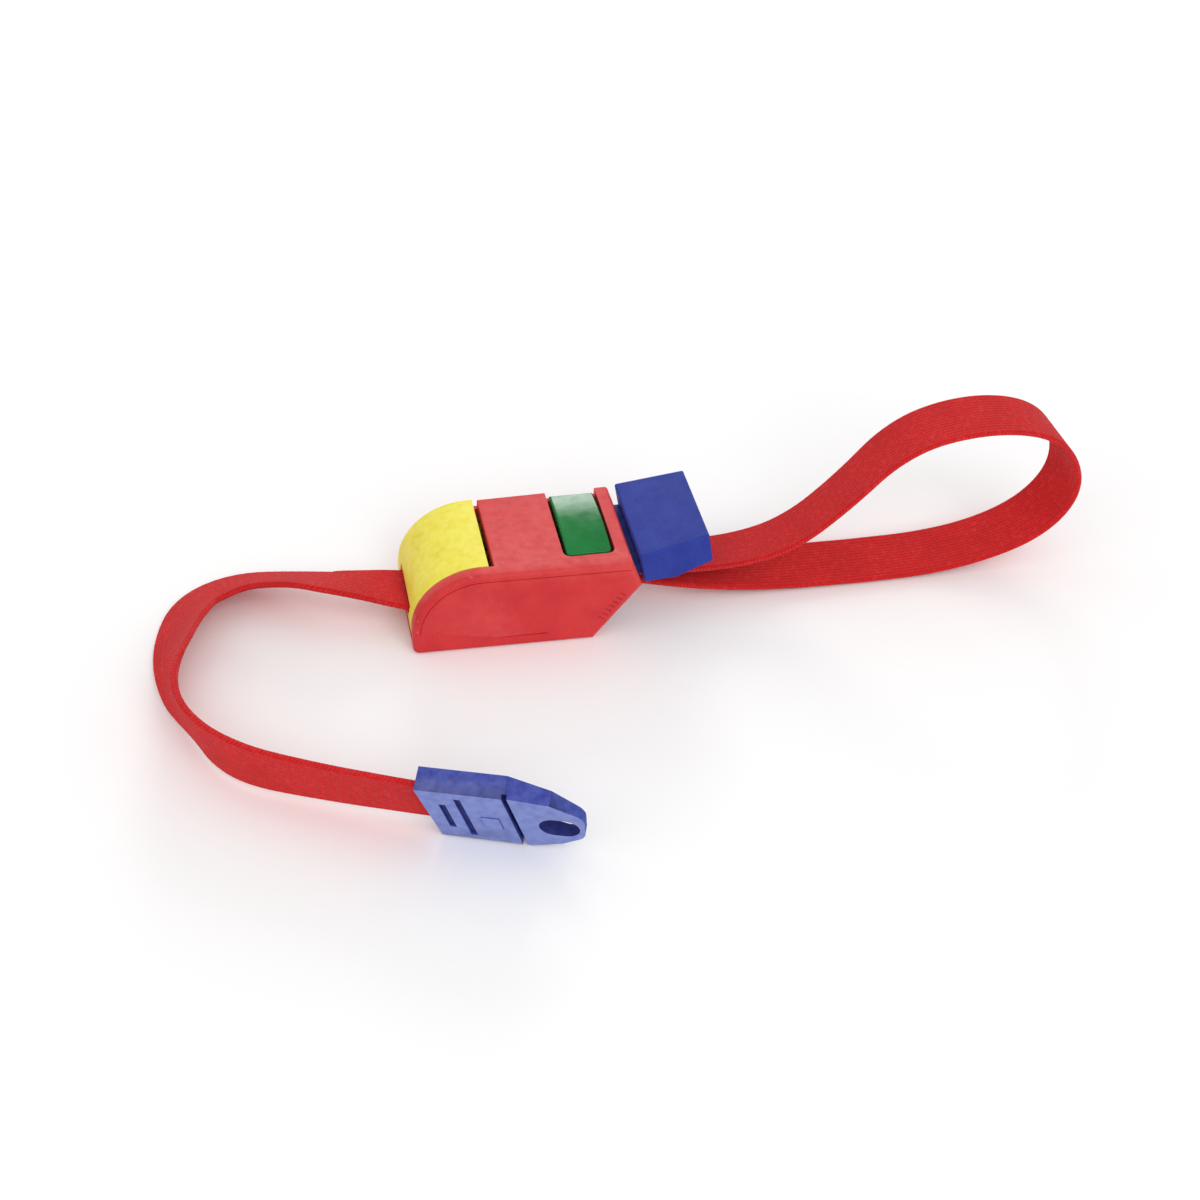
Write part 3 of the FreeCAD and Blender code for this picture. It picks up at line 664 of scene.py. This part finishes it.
def paint_tongue(body):
    """Broad faces pale as painted light and sheen, edges darker, and the window's wall and all sunk
    floors darkest as painted shade.
    """
    body.data.materials.clear()
    for look in ("tongue_edge", "tongue_lit_face", "tongue_recess_shade"):
        body.data.materials.append(LOOKS[look])
    window_x, window_y = WINDOW_PLACE
    # Level faces outside take the paler copy: painted light and sheen.
    for face in body.data.polygons:
        centre = face.center
        level = abs(face.normal.z) > 0.9
        outside = centre.z < -NOSE_FACE + 0.0001 or centre.z > 0
        near_window = abs(centre.x - window_x) < 0.0043 and abs(centre.y - window_y) < 0.0033
        # Window walls and sunk floors take the dark navy: painted shade.
        if (level and not outside) or (near_window and not level):
            face.material_index = 2
        else:
            face.material_index = 1 if level else 0


# ---------------------------------------------------------------- springs
COIL_STEPS = 20     # points on one turn
WIRE_SIDES = 10
# Each press spring: its joint, turns, wire radius, whether its top stays still, and its travel.
PRESS_SPRINGS = {
    "release_lever_spring": ("release_lever_press", 4, 0.00028, True, 0.00066),
    "latch_spring_near": ("latch_press", 9, 0.00018, False, 0.0016),
    "latch_spring_far": ("latch_press", 9, 0.00018, False, 0.0016)}
TORSION_WIRE = 0.0003
TORSION_TURNS = 4
TORSION_ARM = 0.0022


def coil_line(low, high, radius, turns, wire_radius):
    """A coil up Z with closed ends, as points round the origin."""
    line = []
    total = turns * COIL_STEPS
    for index in range(total + 1):
        share = index / total
        angle = 2 * math.pi * index / COIL_STEPS
        closed = 1.0 / turns
        if share < closed:
            rise = wire_radius * 2 * share / closed
        elif share > 1 - closed:
            rise = (high - low) - 2 * wire_radius - wire_radius * 2 * (1 - share) / closed
        else:
            middle = (share - closed) / (1 - 2 * closed)
            rise = wire_radius * 2 + middle * ((high - low) - 6 * wire_radius)
        height = low + wire_radius + rise
        line.append(Vector((radius * math.cos(angle), radius * math.sin(angle), height)))
    return line


def make_press_spring(node, joint, turns, wire_radius, hold_high, travel):
    low, high = (Vector(corner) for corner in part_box(node))
    centre = (low + high) / 2
    radius = (high.x - low.x) / 2 - wire_radius
    line = [point + Vector((centre.x, centre.y, 0))
            for point in coil_line(low.z, high.z, radius, turns, wire_radius)]
    piece = wire(node + "_coil", line, wire_radius, WIRE_SIDES, LOOKS["spring_steel"])
    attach(piece, "housing")
    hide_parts(node)
    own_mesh(piece)


def make_torsion_spring():
    """A coil along Y round the thumb lever's pin, with a short arm at each end."""
    low, high = (Vector(corner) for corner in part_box("thumb_lever_spring"))
    centre = (low + high) / 2
    radius = (high.x - low.x) / 2 - TORSION_WIRE
    first = low.y + TORSION_WIRE
    last = high.y - TORSION_WIRE
    total = TORSION_TURNS * COIL_STEPS
    line = [Vector((centre.x - TORSION_ARM, first, centre.z + radius))]
    for index in range(total + 1):
        angle = 2 * math.pi * index / COIL_STEPS
        x = centre.x + radius * math.sin(angle)
        z = centre.z + radius * math.cos(angle)
        line.append(Vector((x, first + (last - first) * index / total, z)))
    line.append(Vector((centre.x + TORSION_ARM, last, centre.z + radius)))
    piece = wire("thumb_lever_coil", line, TORSION_WIRE, WIRE_SIDES, LOOKS["spring_steel"])
    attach(piece, "housing")
    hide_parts("thumb_lever_spring")


# ---------------------------------------------------------------- build
def make_looks():
    looks = {look: plastic(*values) for look, values in PLASTICS.items()}
    looks["steel"] = steel("plated_steel", srgb(168, 170, 176), 0.32)
    looks["spring_steel"] = steel("spring_wire", srgb(150, 152, 158), 0.25)
    looks["strap_red"] = webbing("woven_elastic")
    return looks


def dress_cad_nodes():
    """Each CAD node takes the detailed material of its slot; the tongue's is its edge plastic."""
    for entry in frame["record"]["subparts"]:
        node = frame["nodes"][entry["node"]]
        slot = entry["material_slot"]
        look = LOOKS["tongue_edge" if slot == "tongue_blue" else slot]
        node.data.materials.clear()
        node.data.materials.append(look)


make_camera()
LOOKS = make_looks()
make_studio()
dress_cad_nodes()
make_strap(LOOKS["strap_red"])
for spring, values in PRESS_SPRINGS.items():
    make_press_spring(spring, *values)
make_torsion_spring()
bpy.context.scene.view_settings.view_transform = "Standard"
